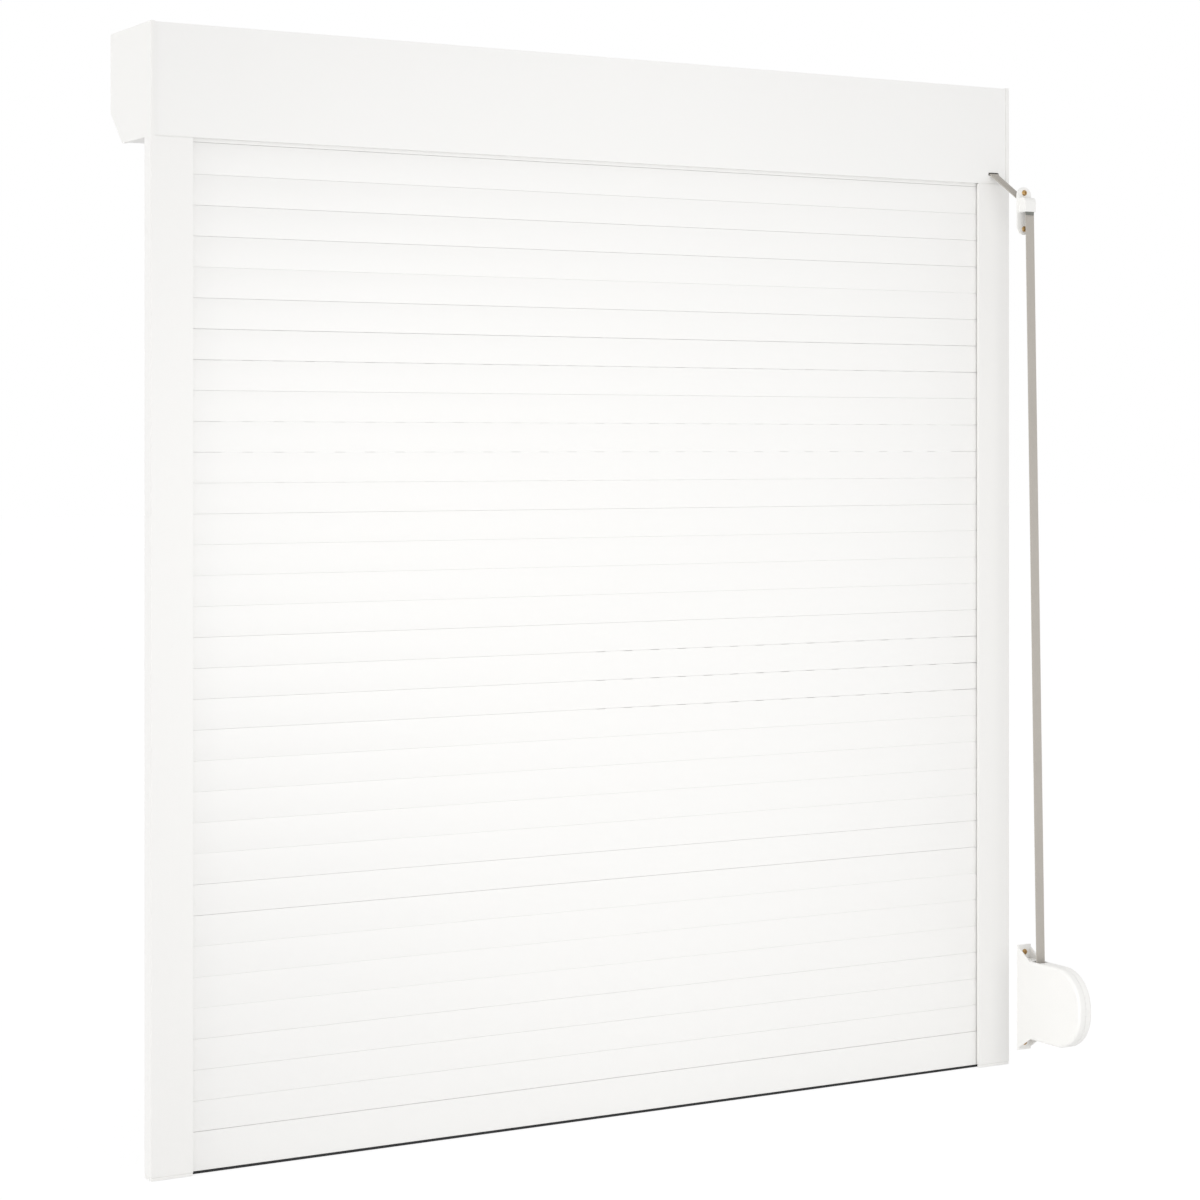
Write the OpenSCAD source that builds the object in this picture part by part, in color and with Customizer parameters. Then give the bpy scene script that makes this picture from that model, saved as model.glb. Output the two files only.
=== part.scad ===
// Exterior roller shutter with a strap drive, seen from the window side.
// Millimetres. X runs along the width, Y from the window side outwards, Z up.
// The origin lies on the sill, at mid width, in the middle plane of the curtain.

/* [Overall] */
// Width across the guide rails and the end plates
shutter_w = 1280; // [900:1:2000]
// Height from the sill to the top of the box
shutter_h = 1376; // [900:1:1700]

/* [Box] */
// Height of the box
box_h = 137; // [130:1:180]
// Depth of the box
box_d = 137; // [130:1:180]
// Leg of the chamfer along the lower outer edge
box_chamfer = 40; // [25:1:50]
// Thickness of the casing sheet
sheet_t = 1.2; // [0.8:0.1:2]
// Thickness of the end plate outside the casings
end_t = 5; // [3:0.5:8]
// How far the end plate's edge stands proud of the casings
rim_proud = 1; // [0.5:0.1:2]
// Length of the end plate's tongue inside the casings
tongue_l = 12; // [6:1:16]
// Wall of the tongue
tongue_t = 1.6; // [1:0.1:3]
// Overlap of the two casings along the top seam
seam_h = 12; // [8:1:20]
// Width of the folded hem along the rear casing's bottom edge
hem_w = 3; // [2:0.5:4]
// Height of the upturned lip where the curtain enters
entry_lip = 10; // [6:1:14]
// Clearance between the casings and the end plates
box_fit = 0.2; // [0.1:0.05:0.4]

/* [Guide rails] */
// Width of a rail
rail_w = 53; // [50:1:70]
// Depth of a rail, square to the wall
rail_d = 22; // [20:1:30]
// Wall of the rail section
rail_wall = 1.6; // [1.2:0.1:2.2]
// Depth of the curtain groove
groove_depth = 20; // [18:1:22]
// Width of a seal pocket along the groove
seal_w = 7; // [5:0.5:8]
// Depth of a seal pocket
seal_pocket = 3; // [2:0.25:3.5]
// Thickness of a seal's running lip
seal_lip = 1.2; // [0.8:0.1:2]
// Thickness of the cap under a rail
cap_t = 4; // [2:0.5:8]
// Height of the cap's plug inside the rail
cap_plug = 14; // [8:1:30]
// Length of the end plate's spigot inside the rail
spigot_l = 45; // [30:1:80]
// Clearance of plugs, spigots and seals in the rail
rail_fit = 0.2; // [0.1:0.05:0.4]
// Diameter of a fixing hole in the rail's outer wall
fixing_d = 6; // [5:0.5:8]
// Diameter of the access hole in the groove floor
access_d = 12; // [10:1:14]
// Height of the lowest fixing hole
fixing_low = 120; // [80:1:160]
// Distance between fixing holes
fixing_step = 335; // [180:1:400]

/* [Curtain] */
// Height that one slat adds to the curtain
slat_pitch = 37; // [34:0.5:44]
// Thickness of a slat
slat_t = 8; // [7.5:0.1:8.6]
// Wall of a slat
slat_skin = 0.9; // [0.7:0.1:1.1]
// Bow of a slat's face
slat_bow = 0.8; // [0.5:0.1:1.2]
// Gap between two closed slats
joint_gap = 0.6; // [0.4:0.1:1]
// How far the hangers draw the topmost joint open
top_open = 1.5; // [0:0.1:2]
// Height of the hook above a slat's body
hook_h = 6.6; // [6:0.1:7.5]
// Reach of the hook's arm from its neck
hook_arm = 2.6; // [2.2:0.1:3]
// Depth of the pocket under a slat
pocket_h = 9; // [8:0.5:11]
// Depth of the slat's end in the rail
slat_engage = 14; // [11:0.5:14]
// Length of a light slot
light_l = 28; // [16:1:32]
// Distance between light slots
light_pitch = 41; // [38:1:60]
// Height of a light slot
light_h = 3; // [2:0.5:4]
// Thickness of an end lock's head
lock_t = 1.5; // [1:0.1:2]
// Height of the bottom bar
bar_h = 46; // [40:1:60]
// Height of the rubber seal under the bottom bar
bar_seal_h = 4; // [3:0.5:8]
// Wall of the bottom bar
bar_wall = 1.4; // [1:0.1:1.8]
// Distance of an end stop from mid width
stop_x = 450; // [200:1:520]
// Reach of an end stop in front of the bottom bar
stop_reach = 24; // [18:1:30]
// Height of an end stop
stop_h = 20; // [12:1:30]
// Distance from the bottom bar's top edge down to an end stop
stop_drop = 12; // [9:1:16]

/* [Shaft] */
// Height of the shaft's axis above the middle of the box
shaft_lift = 4; // [0:0.5:5]
// Width across the flats of the octagonal shaft
shaft_af = 40; // [38:1:44]
// Wall of the shaft tube
shaft_wall = 1; // [0.6:0.1:1.5]
// Length of a plug inside the shaft
plug_l = 60; // [40:1:90]
// Diameter of the journals at both ends
journal_d = 12; // [10:0.5:14]
// Running clearance of a journal or a roller on its radius
run_fit = 0.05; // [0.03:0.01:0.08]
// Outer diameter of a bearing bush
bearing_d = 26; // [22:1:32]
// Length of a bearing bush
bearing_l = 8; // [6:0.5:9]
// Radius of the strap pulley's drum
pulley_drum_r = 33; // [30:1:36]
// Radius of the strap pulley's flanges
pulley_flange_r = 46; // [44:1:52]
// Thickness of a pulley flange
flange_t = 1.5; // [1:0.1:1.7]
// Width of a curtain hanger
hanger_w = 30; // [20:1:50]
// Thickness of a curtain hanger
hanger_t = 1; // [0.6:0.1:1.2]
// Distance between curtain hangers
hanger_pitch = 340; // [200:1:380]

/* [Strap] */
// Width of the strap
strap_w = 14; // [12:0.5:14]
// Thickness of the strap
strap_t = 1.3; // [1:0.1:1.6]
// Outer radius of the strap wound on the pulley
pulley_coil_r = 40; // [38:0.5:42]
// Height of the strap slot above the box's lower edge
slot_z = 14.6; // [9:0.1:16]
// Height of the strap slot
slot_h = 4; // [3:0.25:5]
// Room beside the strap in the slot and on the spools
strap_side = 0.5; // [0.3:0.1:0.8]
// Gap between the running strap and what it passes
strap_gap = 0.3; // [0.2:0.05:0.5]

/* [Strap guide] */
// Distance of the inner mounting plane from the rails' back
reveal = 65; // [50:1:100]
// Distance from the box's lower edge down to the guide roller's axis
guide_fall = 40; // [38:1:60]
// Height of the guide plate
guide_h = 66; // [64:1:80]
// Width of the guide plate
guide_w = 24; // [22:1:30]
// Thickness of the guide plate
guide_t = 2.5; // [2:0.1:3]
// Distance from the roller's axis down to the guide plate's lower end
guide_drop = 35; // [33:1:42]
// Distance of the two screws on the guide
guide_screws = 50; // [48:1:58]
// Radius of the guide roller
roller_r = 5; // [4.5:0.25:7]
// Radius of the roller's pin
roller_pin_r = 2; // [1.5:0.1:2.5]
// Wall of the guide's hood
hood_wall = 1.6; // [1.2:0.1:2]
// Height of the hood's top above the roller's axis
hood_rise = 16; // [16:0.5:22]
// Rounding of the hood's nose
hood_round = 7; // [4:0.5:9]
// Distance from the roller's axis down to the hood's mouth
hood_drop = 4; // [2:0.5:8]

/* [Strap winder] */
// Height of the winder spool's axis
winder_z = 108.5; // [90:0.5:400]
// Radius of the winder's round front
winder_r = 54; // [53:0.5:70]
// Distance from the mounting plane to the spool's axis
winder_out = 80; // [70:1:110]
// Width of the winder
winder_w = 22; // [21:0.5:30]
// Wall of the winder's case
case_wall = 1.8; // [1.4:0.1:2]
// Rounding of the case's edges
case_round = 4; // [3:0.5:8]
// Radius of the two corners of the case's front
case_corner = 50; // [30:1:52]
// Height of the case's cheeks above its top where they meet the bracket
flare_h = 15.5; // [8:0.5:16]
// Length over which the cheeks rise
flare_l = 31; // [20:1:36]
// Gap of the split line between the case halves
split_gap = 0.3; // [0.2:0.1:0.6]
// Thickness of the winder's bracket
bracket_t = 3; // [2:0.1:5]
// Length of a bracket tab beyond the case
tab_l = 18.5; // [16:0.5:24]
// Distance of a screw from the end of its tab
tab_screw = 10; // [6:0.5:11]
// Outer radius of the strap wound in the winder
winder_coil_r = 40; // [38:0.5:42]
// Radius of the winder spool's core
spool_core_r = 25; // [23:0.5:28]
// Wall of the winder spool's core
spool_wall = 2; // [1.2:0.1:3]
// Radius of the winder spool's flange
spool_flange_r = 48; // [46:0.5:50]
// Radius of the spindle in the winder
spindle_r = 5; // [4:0.25:6]
// Turns of the winder's spring
spring_turns = 6; // [4:1:8]
// Thickness of the spring band
spring_t = 0.4; // [0.2:0.05:0.5]
// Radius of the strap brake's pivot
brake_pin_r = 2.5; // [2:0.1:3]
// Distance from the mounting plane to the brake's pivot
brake_out = 23; // [20:0.5:24]
// Height of the brake's pivot above the spool's axis
brake_rise = 20; // [16:0.5:22]
// Length of the brake's arm up to its pad
brake_arm = 20; // [16:0.5:22]

/* [Screws] */
// Radius of a mounting screw's shank
screw_r = 2; // [1.5:0.1:2]
// Radius of a screw's neck in its plate
screw_neck_r = 2.3; // [2.2:0.1:2.6]
// Length of a screw behind the mounting plane
screw_l = 10; // [8:0.5:11]
// Radius of a screw head
screw_head_r = 4; // [3.5:0.1:4.5]
// Height of a screw head
screw_head_h = 2.4; // [2:0.1:3]

/* [Hidden] */
$fn = 64;
eps = 0.01;
cut = 1;
half_w = shutter_w / 2;
wall_y = -rail_d / 2;
box_z = shutter_h - box_h;
axis_y = wall_y + box_d / 2;
axis_z = box_z + box_h / 2 + shaft_lift;

// Casings
rear_y = wall_y + rim_proud;
front_y = wall_y + box_d - rim_proud;
low_z = box_z + rim_proud;
high_z = shutter_h - rim_proud;
casing_x = half_w - end_t - box_fit;
folds_x = casing_x - tongue_l - cut;
entry_y = slat_t / 2 + 3;

// Guide rails
rail_x = half_w - rail_w;
rail_mouth = rail_d - 2 * (rail_wall + seal_pocket);
seal_reach = rail_d / 2 - rail_wall - slat_t / 2 - strap_gap;
chamber_u = groove_depth + rail_wall;
chamber_w = rail_w - groove_depth - 2 * rail_wall;
fixing_count = 4;
spigot_w = 15;
foot_h = 18;

// Curtain
curtain_z = bar_seal_h + bar_h;
slat_count = ceil((box_z - curtain_z) / slat_pitch);
slat_body = slat_pitch - joint_gap;
slat_x = rail_x + slat_engage;
bow_r = (pow(slat_body / 2, 2) + pow(slat_bow, 2)) / (2 * slat_bow);
neck_u = 0.6;
neck_t = 1;
hook_lip = 1;
lip_clear = 1;
lights = floor((2 * slat_x - 2 * light_pitch) / light_pitch);
stop_w = 30;
seal_stem = 3;
seal_head = 5;

// Shaft
flange_x = slat_x + lock_t + 2;
drum_x = flange_x + flange_t;
drum_w = strap_w + 2 * strap_side;
strap_x = drum_x + drum_w / 2;
pulley_end = drum_x + drum_w + flange_t;
bearing_x = half_w - end_t - bearing_l;
boss_l = bearing_l + 1;
boss_wall = 3;
hanger_count = 4;

// Strap guide and winder
mount_y = wall_y - reveal;
plate_y = mount_y - guide_t;
guide_z = box_z - guide_fall;
roller_y = plate_y - roller_r - strap_gap - 0.3;
guide_low = guide_z - guide_drop;
screw_mid = guide_low + guide_h / 2;
spool_y = mount_y - winder_out;
case_y = mount_y - bracket_t;
spool_x = strap_x - drum_w / 2;
case_step = 0.05;
corner_y = spool_y - winder_r + case_corner;
corner_up = winder_r - case_corner;
brake_y = mount_y - brake_out;
brake_z = winder_z + brake_rise;

// Route of the strap in the plane across the shutter, from the pulley to the winder
function turn(v, a) = [v[0] * cos(a) - v[1] * sin(a), v[0] * sin(a) + v[1] * cos(a)];
function heading(v) = atan2(v[1], v[0]);
line_off = strap_gap + strap_t / 2;
pulley_p = [axis_y, axis_z];
slot_p = [rear_y + sheet_t / 2, box_z + slot_z];
roller_p = [roller_y, guide_z];
spool_p = [spool_y, winder_z];
pulley_line_r = pulley_coil_r + line_off;
roller_line_r = roller_r + line_off;
spool_line_r = winder_coil_r + line_off;
to_pulley = pulley_p - slot_p;
pulley_dir = heading(to_pulley) - asin(pulley_line_r / norm(to_pulley));
pulley_run = sqrt(pow(norm(to_pulley), 2) - pow(pulley_line_r, 2));
to_roller = roller_p - slot_p;
slope_dir = heading(to_roller) - asin(roller_line_r / norm(to_roller));
to_spool = spool_p - roller_p;
drop_dir = heading(to_spool) + asin((roller_line_r + spool_line_r) / norm(to_spool));
drop_run = sqrt(pow(norm(to_spool), 2) - pow(roller_line_r + spool_line_r, 2));
drop_start = roller_p + roller_line_r * turn([0, -1], drop_dir);
// Heights at which the strap crosses the guide plate and the distance at which it enters the winder
window_z = slot_p[1] + (plate_y + guide_t / 2 - slot_p[0]) * tan(slope_dir);
mouth_y = drop_start[0] + (winder_z + winder_r - drop_start[1]) / tan(drop_dir);

function slat_name(i) = str("slat_", i < 10 ? "0" : "", i);
function slat_z(i) = curtain_z + (i - 1) * slat_pitch + (i == slat_count ? top_open : 0);

white = "whitesmoke";
strap_grey = "tan";
steel = "silver";
moulded = "gainsboro";

// Extrudes a profile drawn in Y and Z along X
module along_x(x0, x1) {
    translate([x0, 0, 0]) rotate([90, 0, 90]) linear_extrude(x1 - x0) children();
}

// Round bar along X, placed by its axis in Y and Z
module rod_x(p, r, x0, x1) {
    translate([x0, p[0], p[1]]) rotate([0, 90, 0]) cylinder(r = r, h = x1 - x0);
}

// Octagon with flats above and below
module octagon(af) {
    rotate(180 / 8) circle(r = af / 2 / cos(180 / 8), $fn = 8);
}

module octagon_x(af, x0, x1) {
    along_x(x0, x1) translate(pulley_p) octagon(af);
}

module both_sides() {
    children();
    mirror([1, 0, 0]) children();
}

// Section of the box, inset from the end plate's edge
function box_outline(inset) = let (k = (sqrt(2) - 1) * inset) [
    [wall_y + inset, box_z + inset],
    [wall_y + box_d - box_chamfer - k, box_z + inset],
    [wall_y + box_d - inset, box_z + box_chamfer + k],
    [wall_y + box_d - inset, shutter_h - inset],
    [wall_y + inset, shutter_h - inset]];

module box_ring(inset, wall) {
    difference() {
        polygon(box_outline(inset));
        polygon(box_outline(inset + wall));
    }
}

// Back and top of the box, folded from one sheet, with the slot for the strap
module rear_casing() {
    color(white) difference() {
        union() {
            along_x(-casing_x, casing_x) {
                translate([rear_y, low_z]) square([sheet_t, high_z - low_z]);
                translate([rear_y, high_z - sheet_t]) square([front_y - rear_y, sheet_t]);
                translate([front_y - sheet_t, high_z - seam_h]) square([sheet_t, seam_h]);
            }
            along_x(-folds_x, folds_x) {
                translate([rear_y, low_z]) square([sheet_t + hem_w, sheet_t]);
                translate([rear_y + hem_w, low_z]) square([sheet_t, 2 * hem_w]);
            }
        }
        strap_slot();
    }
}

module strap_slot() {
    slot_w = drum_w + 2 * strap_side + 2;
    translate([strap_x - slot_w / 2, rear_y - cut, box_z + slot_z - slot_h / 2])
        cube([slot_w, hem_w + 2 * sheet_t + 2 * cut, slot_h]);
}

// Outer face, chamfer and underside of the box, folded from one sheet
module front_casing() {
    seam_z = high_z - seam_h - box_fit;
    tuck_y = front_y - 2 * sheet_t - box_fit;
    color(white) union() {
        along_x(-casing_x, casing_x) intersection() {
            box_ring(rim_proud, sheet_t);
            translate([entry_y, box_z]) square([box_d, seam_z - box_z]);
        }
        along_x(-folds_x, folds_x) {
            translate([tuck_y, seam_z - sheet_t]) square([front_y - tuck_y, sheet_t]);
            translate([tuck_y, seam_z - sheet_t])
                square([sheet_t, seam_h]);
            translate([entry_y, low_z]) square([sheet_t, entry_lip]);
        }
    }
}

// Moulded end of the box with its tongue, bearing seat and rail spigot
module end_plate() {
    inner_x = half_w - end_t;
    tongue_in = rim_proud + sheet_t + box_fit;
    chamber_x = half_w - rail_wall - rail_fit;
    foot_y = wall_y + tongue_in;
    difference() {
        union() {
            along_x(inner_x, half_w) polygon(box_outline(0));
            along_x(inner_x - tongue_l, inner_x + eps) box_ring(tongue_in, tongue_t);
            rod_x(pulley_p, bearing_d / 2 + boss_wall, inner_x - boss_l, inner_x + eps);
            for (a = [45:90:315])
                translate([inner_x - boss_l / 2, axis_y, axis_z]) rotate([a, 0, 0])
                    translate([0, bearing_d / 2 + boss_wall - 1, -tongue_t / 2])
                        cube([boss_l / 2 + eps, bearing_d / 2, tongue_t]);
            translate([chamber_x - spigot_w, wall_y + rail_wall + rail_fit, box_z - spigot_l])
                cube([spigot_w, rail_d - 2 * rail_wall - 2 * rail_fit, spigot_l + eps]);
            translate([chamber_x - spigot_w, foot_y, box_z])
                cube([spigot_w, entry_y - box_fit - foot_y, foot_h]);
        }
        rod_x(pulley_p, bearing_d / 2, bearing_x - boss_l, inner_x);
        translate([chamber_x - spigot_w + rail_wall, wall_y + 2 * rail_wall + rail_fit,
                   box_z - spigot_l - cut])
            cube([spigot_w - 2 * rail_wall, rail_d - 4 * rail_wall - 2 * rail_fit,
                  spigot_l + cut]);
    }
}

module left_end_plate() {
    color(moulded) mirror([1, 0, 0]) end_plate();
}

module right_end_plate() {
    color(moulded) end_plate();
}

// Rail section: u from the curtain side, v from the wall
module rail_section() {
    beyond = seal_w + 2 * rail_wall;
    difference() {
        square([rail_w, rail_d]);
        translate([-cut, rail_wall + seal_pocket]) square([groove_depth + cut, rail_mouth]);
        for (v = [rail_wall, rail_d - rail_wall - seal_pocket])
            translate([rail_wall, v]) square([seal_w, seal_pocket + eps]);
        translate([beyond, rail_wall]) square([groove_depth - beyond, rail_d - 2 * rail_wall]);
        translate([chamber_u, rail_wall]) square([chamber_w, rail_d - 2 * rail_wall]);
    }
}

module guide_rail() {
    difference() {
        translate([rail_x, wall_y, cap_t]) linear_extrude(box_z - cap_t) rail_section();
        for (n = [0:fixing_count - 1]) {
            hole = [0, fixing_low + n * fixing_step];
            rod_x(hole, fixing_d / 2, half_w - rail_wall - cut, half_w + cut);
            rod_x(hole, access_d / 2, rail_x + groove_depth - cut, rail_x + chamber_u + cut);
        }
    }
}

module left_guide_rail() {
    color(white) mirror([1, 0, 0]) guide_rail();
}

module right_guide_rail() {
    color(white) guide_rail();
}

// Moulded foot of each rail with a plug in the rail's chamber
module rail_end_caps() {
    color(moulded) both_sides() translate([rail_x, wall_y, 0]) {
        linear_extrude(cap_t) difference() {
            square([rail_w, rail_d]);
            translate([-cut, rail_wall + seal_pocket])
                square([groove_depth + cut, rail_mouth]);
        }
        translate([chamber_u + rail_fit, rail_wall + rail_fit, cap_t - eps])
            cube([chamber_w - 2 * rail_fit, rail_d - 2 * rail_wall - 2 * rail_fit,
                  cap_plug + eps]);
    }
}

// Running seals held in the pockets of both rails
module rail_seals() {
    color("darkgray") both_sides() translate([rail_x + rail_wall, 0, cap_t])
        linear_extrude(box_z - cap_t) for (side = [0, 1]) mirror([0, side]) {
            translate([rail_fit, wall_y + rail_wall])
                square([seal_w - 2 * rail_fit, seal_pocket]);
            translate([(seal_w - seal_lip) / 2, wall_y + rail_wall])
                square([seal_lip, seal_reach]);
        }
}

// Bushes that carry the shaft's journals
module shaft_bearings() {
    color("dimgray") both_sides() difference() {
        rod_x(pulley_p, bearing_d / 2 - eps, bearing_x, half_w - end_t);
        rod_x(pulley_p, journal_d / 2 + run_fit, bearing_x - cut, half_w);
    }
}

module octagonal_shaft() {
    color(steel) difference() {
        octagon_x(shaft_af, -flange_x, flange_x);
        octagon_x(shaft_af - 2 * shaft_wall, -flange_x - cut, flange_x + cut);
    }
}

// Octagonal plug, flange and journal at the free end of the shaft
module idler_plug() {
    color("dimgray") mirror([1, 0, 0]) {
        octagon_x(shaft_af - 2 * shaft_wall, flange_x - plug_l, flange_x + eps);
        rod_x(pulley_p, shaft_af * 0.6, flange_x, drum_x);
        rod_x(pulley_p, journal_d / 2 + boss_wall, drum_x - eps, bearing_x - 1);
        rod_x(pulley_p, journal_d / 2, bearing_x - 1 - eps, half_w - end_t - 1);
    }
}

// Drum for the strap with two flanges, an octagonal plug and a journal
module strap_pulley() {
    color("dimgray") {
        octagon_x(shaft_af - 2 * shaft_wall, flange_x - plug_l, flange_x + eps);
        rod_x(pulley_p, pulley_flange_r, flange_x, drum_x);
        rod_x(pulley_p, pulley_drum_r, drum_x - eps, drum_x + drum_w + eps);
        rod_x(pulley_p, pulley_flange_r, drum_x + drum_w, pulley_end);
        rod_x(pulley_p, journal_d / 2 + boss_wall, pulley_end - eps, bearing_x - 1);
        rod_x(pulley_p, journal_d / 2, bearing_x - 1 - eps, half_w - end_t - 1);
    }
}

// Spring steel straps that hang the top slat from the shaft
module curtain_hangers() {
    top_z = slat_z(slat_count) + slat_body;
    plate_u = -slat_t / 2 + slat_skin;
    strip_off = shaft_af / 2;
    fold_z = axis_z + plate_u - axis_y + strip_off * sqrt(2);
    strip_l = (axis_y - strip_off / sqrt(2) - plate_u) * sqrt(2) + shaft_af / 6;
    color(steel) for (n = [0:hanger_count - 1])
        translate([(n - (hanger_count - 1) / 2) * hanger_pitch, 0, 0])
            along_x(-hanger_w / 2, hanger_w / 2) {
                translate([plate_u, top_z + joint_gap])
                    square([hanger_t, fold_z - top_z - joint_gap + hanger_t / 2]);
                translate([plate_u, top_z + joint_gap])
                    square([neck_u - lip_clear - plate_u, hook_lip]);
                translate([plate_u, fold_z]) rotate(45) square([strip_l, hanger_t]);
            }
}

// Strap wound on the pulley while the curtain is down
module pulley_strap_coil() {
    color(strap_grey) difference() {
        rod_x(pulley_p, pulley_coil_r, strap_x - strap_w / 2, strap_x + strap_w / 2);
        rod_x(pulley_p, pulley_drum_r, strap_x - drum_w, strap_x + drum_w);
    }
}

// Band of even thickness along a line of points, mitred at the bends
function left_of(v) = [-v[1], v[0]] / norm(v);
function mitre(p, i) = i == 0 ? left_of(p[1] - p[0])
    : i == len(p) - 1 ? left_of(p[i] - p[i - 1])
    : let (a = left_of(p[i] - p[i - 1]), b = left_of(p[i + 1] - p[i])) (a + b) / (1 + a * b);

module band(p, t) {
    last = len(p) - 1;
    polygon(concat([for (i = [0:last]) p[i] + mitre(p, i) * t / 2],
                   [for (i = [last:-1:0]) p[i] - mitre(p, i) * t / 2]));
}

// Strap from the pulley through the slot, over the guide roller, down to the winder
module strap_run() {
    steps = 12;
    lap = (drop_dir - slope_dir) / steps;
    arc = [for (k = [0:steps])
        roller_p + roller_line_r * turn([1, 0], slope_dir - 90 + k * lap)];
    path = concat([slot_p + pulley_run * turn([1, 0], pulley_dir), slot_p], arc,
                  [drop_start + drop_run * turn([1, 0], drop_dir)]);
    color(strap_grey) along_x(strap_x - strap_w / 2, strap_x + strap_w / 2)
        band(path, strap_t);
}

// Plate with round ends, upright on the inner mounting plane
module upright_plate(w, z0, z1, y0, t) {
    translate([strap_x, y0, 0]) rotate([90, 0, 0]) linear_extrude(t) {
        translate([-w / 2, z0 + w / 2]) square([w, z1 - z0 - w]);
        for (z = [z0 + w / 2, z1 - w / 2]) translate([0, z]) circle(d = w);
    }
}

// Side view of the guide's hood, drawn in by a wall all round
module hood_side(in) {
    nose_y = roller_y - roller_line_r - strap_t / 2 - strap_gap - hood_wall + in;
    foot_z = guide_z - hood_drop - (in > 0 ? cut : 0);
    deep = plate_y + eps - nose_y;
    high = guide_z + hood_rise - in - foot_z;
    round_r = hood_round - in;
    translate([nose_y, foot_z]) {
        square([deep, high - round_r]);
        translate([round_r, 0]) square([deep - round_r, high]);
        translate([round_r, high - round_r]) circle(r = round_r);
    }
}

// Hooded strap guide with the pin of its roller
module guide_body() {
    hood_w = drum_w + 2 * hood_wall;
    window_h = strap_t / abs(cos(slope_dir)) + guide_t * abs(tan(slope_dir)) + 2 * strap_side;
    color(white) difference() {
        union() {
            upright_plate(guide_w, guide_low, guide_low + guide_h, mount_y, guide_t);
            difference() {
                along_x(strap_x - hood_w / 2, strap_x + hood_w / 2) hood_side(0);
                along_x(strap_x - drum_w / 2, strap_x + drum_w / 2) hood_side(hood_wall);
            }
            rod_x(roller_p, roller_pin_r, strap_x - drum_w / 2 - eps, strap_x + drum_w / 2 + eps);
        }
        translate([strap_x - drum_w / 2, plate_y - cut, window_z - window_h / 2])
            cube([drum_w, guide_t + 2 * cut, window_h]);
        for (side = [-1, 1])
            translate([strap_x, mount_y + cut, screw_mid + side * guide_screws / 2])
                rotate([90, 0, 0]) cylinder(r = screw_neck_r + rail_fit, h = guide_t + 2 * cut);
    }
}

module guide_roller() {
    roller_w = strap_w;
    color(moulded) difference() {
        rod_x(roller_p, roller_r, strap_x - roller_w / 2, strap_x + roller_w / 2);
        rod_x(roller_p, roller_pin_r + run_fit, strap_x - drum_w, strap_x + drum_w);
    }
}

// One round headed screw whose neck fills a plate of thickness t
module screw(z, t) {
    translate([strap_x, mount_y - t, z]) rotate([90, 0, 0]) {
        cylinder(r1 = screw_head_r, r2 = screw_head_r * 0.7, h = screw_head_h);
        translate([0, 0, -t]) cylinder(r = screw_neck_r, h = t + eps);
        translate([0, 0, -t - screw_l]) cylinder(r = screw_r, h = t + screw_l);
    }
}

module mounting_screws() {
    color("goldenrod") {
        for (side = [-1, 1]) {
            screw(screw_mid + side * guide_screws / 2, guide_t);
            screw(winder_z + side * (winder_r + tab_l - tab_screw), bracket_t);
        }
    }
}

// Wall plate of the winder with a tab above and below the case
module winder_bracket() {
    color(white) difference() {
        translate([strap_x - winder_w / 2, case_y, winder_z - winder_r - tab_l])
            cube([winder_w, bracket_t, 2 * (winder_r + tab_l)]);
        for (side = [-1, 1])
            translate([strap_x, mount_y + cut, winder_z + side * (winder_r + tab_l - tab_screw)])
                rotate([90, 0, 0])
                    cylinder(r = screw_neck_r + rail_fit, h = bracket_t + 2 * cut);
    }
}

// Half section of the case from its middle plane, with a rounded outer edge
module case_section(in, from, reach) {
    r = reach - in;
    w = winder_w / 2 - in;
    round_r = max(case_round - in, 1);
    translate([from, 0]) square([r - round_r - from, w]);
    translate([from, 0]) square([r - from, w - round_r]);
    translate([r - round_r, w - round_r]) circle(r = round_r);
}

// Half of the D shaped case as a solid, inset by a wall, on the side of +X
module case_half_solid(in, back) {
    translate([strap_x, corner_y, winder_z]) {
        for (side = [-1, 1]) translate([0, 0, side * corner_up])
            rotate([0, 90, 0]) rotate_extrude() case_section(in + case_step, 0, case_corner);
        translate([0, 0, -corner_up]) rotate([0, 0, -90]) linear_extrude(2 * corner_up)
            case_section(in + case_step / 2, -cut, case_corner);
        rotate([-90, -90, 0]) linear_extrude(case_y - corner_y + back) {
            case_section(in, -cut, winder_r);
            mirror([1, 0]) case_section(in, -cut, winder_r);
        }
    }
}

// Cheeks of one half that rise towards the bracket's tabs
module case_cheeks() {
    side_x = strap_x + winder_w / 2 - case_step;
    low = winder_r - case_round - 1;
    along_x(side_x - case_wall, side_x) translate([case_y, winder_z])
        for (side = [-1, 1])
            polygon([[0, side * low], [0, side * (winder_r + flare_h)], [-flare_l, side * low]]);
}

// Shell of one half of the case, on the side of +X
module case_half() {
    mouth_w = drum_w + 2;
    difference() {
        union() {
            case_half_solid(0, 0);
            case_cheeks();
        }
        case_half_solid(case_wall, cut);
        translate([strap_x - cut, spool_y - 2 * winder_r, winder_z - 2 * winder_r])
            cube([cut + split_gap / 2, 4 * winder_r, 4 * winder_r]);
        translate([strap_x - mouth_w / 2, mouth_y - 10, winder_z + winder_r - 4 * case_wall])
            cube([mouth_w, 18, 8 * case_wall]);
    }
}

// Half of the case that carries the spindle and the brake's pivot
module winder_case_left() {
    inside = strap_x - winder_w / 2 + case_wall - eps;
    color(white) {
        translate([2 * strap_x, 0, 0]) mirror([1, 0, 0]) case_half();
        rod_x(spool_p, spindle_r, inside, spool_x + drum_w);
        rod_x([brake_y, brake_z], brake_pin_r, inside, spool_x + drum_w);
    }
}

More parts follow.
